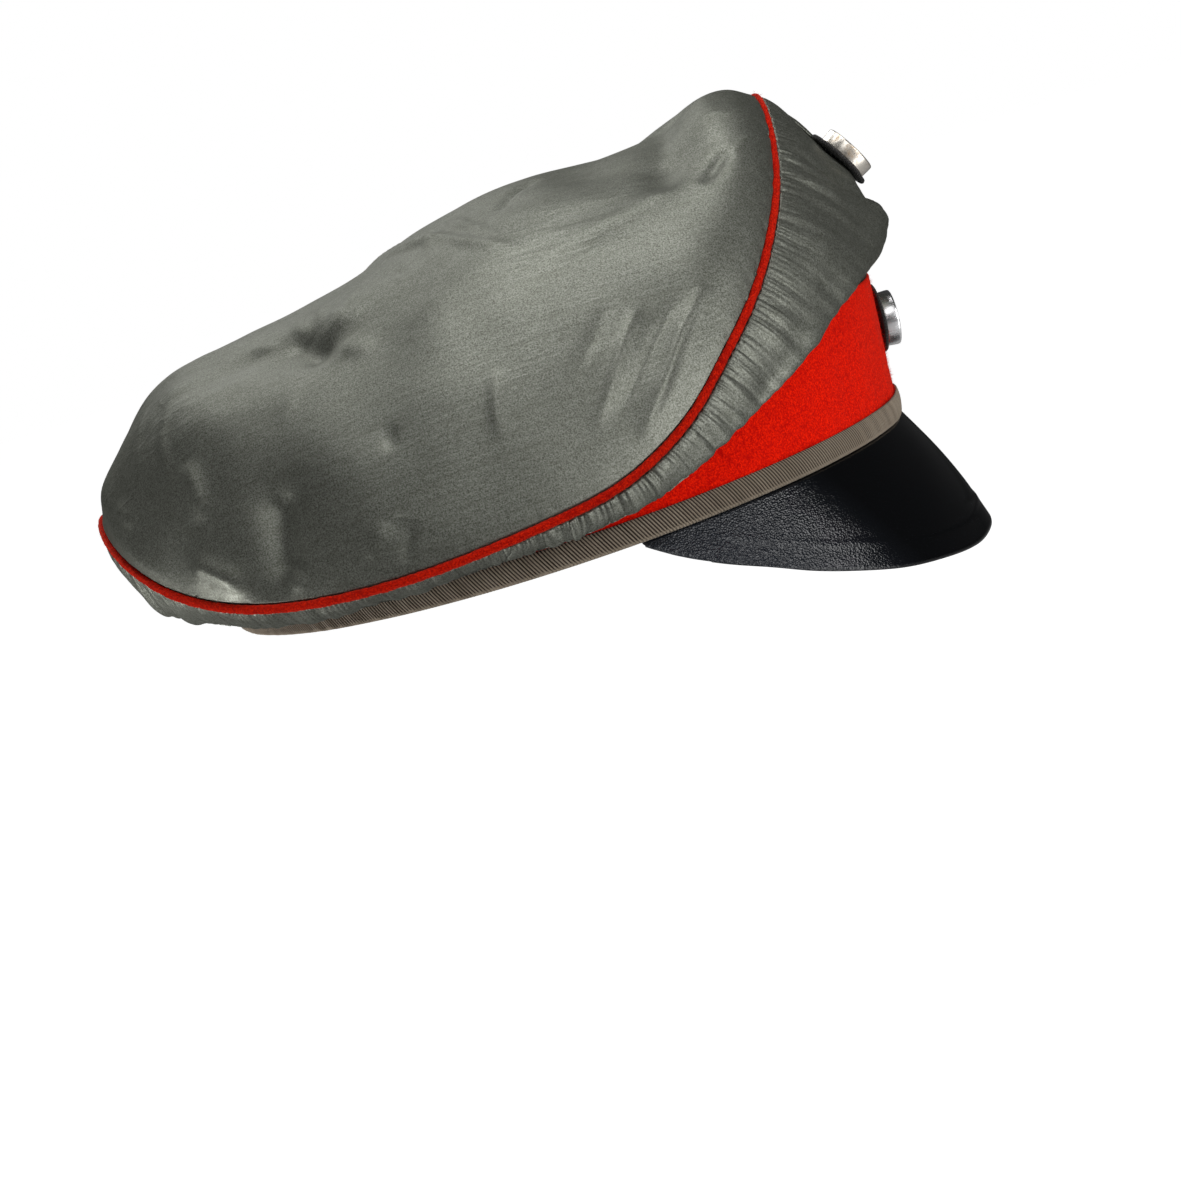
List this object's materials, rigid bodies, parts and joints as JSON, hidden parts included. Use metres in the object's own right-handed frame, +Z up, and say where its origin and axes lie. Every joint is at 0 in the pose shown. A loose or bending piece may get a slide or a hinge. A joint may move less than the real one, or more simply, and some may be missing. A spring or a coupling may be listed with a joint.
{
  "type": "peaked cap",
  "caption": "Soft peaked cap: a drooping grey-green silk crown with a red piped edge, a red wool band with a ribbed binding, a black leather visor and ring cockades on the front.",
  "frame": {"origin": "Centre of the head opening, on the plane of the band's lower edge.", "axes": "+Z up out of the crown, -Y forwards over the visor, +X to the wearer's left. Metres."},
  "size_m": [0.2064, 0.2547, 0.1455],
  "materials": {
    "silk": "plain-woven grey-green silk with a soft satin sheen",
    "band_wool": "bright red milled wool with a short nap",
    "piping_wool": "red wool cloth over a cord",
    "grosgrain": "brown-grey ribbed ribbon",
    "sweat_leather": "tan sheepskin, smooth and slightly worn",
    "bow_ribbon": "narrow black ribbon",
    "visor_leather": "black lacquered leather, glossy, with a fine grain at the sides",
    "visor_lining_leather": "dark green leather, matt",
    "lining_cotton": "unbleached cotton sateen",
    "buckram": "stiffened canvas",
    "cockade_wool": "black ribbed wool",
    "cockade_red_wool": "red wool cloth",
    "cockade_metal": "silver-plated ring, tarnished in places",
    "prong_steel": "thin bent steel strip"
  },
  "bodies": {
    "root": {"band_cloth": "band_wool", "band_stiffener": "buckram", "lower_binding": "grosgrain", "sweatband": "sweat_leather", "sweatband_bow": "bow_ribbon", "visor_shell": "visor_leather", "visor_lining": "visor_lining_leather", "crown_top": "silk", "crown_side_front_left": "silk", "crown_side_front_right": "silk", "crown_side_rear_left": "silk", "crown_side_rear_right": "silk", "crown_piping": "piping_wool", "crown_top_lining": "lining_cotton", "crown_side_lining": "lining_cotton", "front_stay": "buckram", "upper_cockade_backing": "cockade_wool", "upper_cockade_ring": "cockade_metal", "upper_cockade_centre": "cockade_red_wool", "upper_cockade_prongs": "prong_steel", "lower_cockade_backing": "cockade_wool", "lower_cockade_ring": "cockade_metal", "lower_cockade_centre": "cockade_wool", "lower_cockade_prongs": "prong_steel"}
  },
  "joints": []
}
